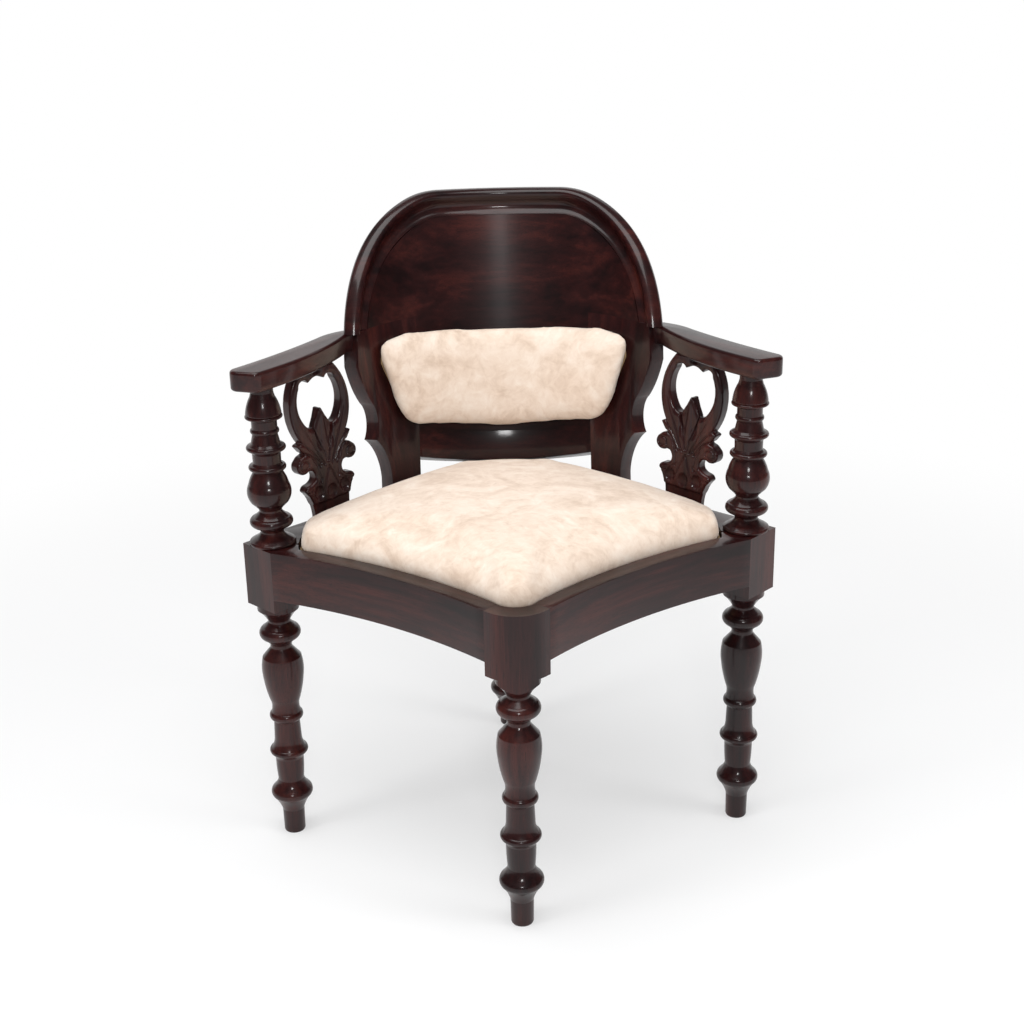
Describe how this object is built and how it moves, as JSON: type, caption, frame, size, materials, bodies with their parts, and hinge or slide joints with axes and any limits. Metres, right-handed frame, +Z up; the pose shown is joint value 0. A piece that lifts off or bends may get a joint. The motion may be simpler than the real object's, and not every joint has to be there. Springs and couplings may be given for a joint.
{
  "type": "corner chair",
  "caption": "Corner chair with one leg at each corner of a kite-shaped seat, a curved panelled back, level arms on turned posts and carved pierced splats.",
  "frame": {"origin": "centre of the footprint, on the floor", "axes": "+X to the sitter's left as seen from the front (to the viewer's right), +Y from the front leg towards the back, +Z up"},
  "size_m": [0.7166, 0.613, 0.8603],
  "materials": {
    "frame_wood": "satin to gloss lacquer over dark stained hardwood",
    "leg_wood": "satin lacquer over dark stained hardwood",
    "panel_wood": "polished lacquer over dark red-brown figured hardwood",
    "plain_wood": "unfinished hardwood",
    "upholstery": "soft mottled suede-like cloth",
    "backing_board": "plain sanded board",
    "dust_cloth": "thin plain woven cloth",
    "dowel_beech": "plain beech",
    "screw_steel": "plain steel"
  },
  "bodies": {
    "root": {"arm_dowels": "dowel_beech", "back_bottom_rail": "frame_wood", "back_pad": "upholstery", "back_pad_board": "backing_board", "back_panel": "panel_wood", "back_rim": "frame_wood", "corner_block_screws": "screw_steel", "front_corner_block": "plain_wood", "front_left_rail": "frame_wood", "front_leg": "leg_wood", "front_right_rail": "frame_wood", "left_arm": "frame_wood", "left_back_stile": "frame_wood", "left_corner_block": "plain_wood", "left_leg": "leg_wood", "left_splat": "frame_wood", "pad_screws": "screw_steel", "rear_corner_block": "plain_wood", "rear_left_rail": "frame_wood", "rear_leg": "leg_wood", "rear_right_rail": "frame_wood", "right_arm": "frame_wood", "right_back_stile": "frame_wood", "right_corner_block": "plain_wood", "right_leg": "leg_wood", "right_splat": "frame_wood", "rim_dowels": "dowel_beech", "seat_board": "backing_board", "seat_cushion": "upholstery", "seat_dust_cover": "dust_cloth", "seat_screws": "screw_steel", "splat_dowels": "dowel_beech", "stile_dowels": "dowel_beech"}
  },
  "joints": []
}
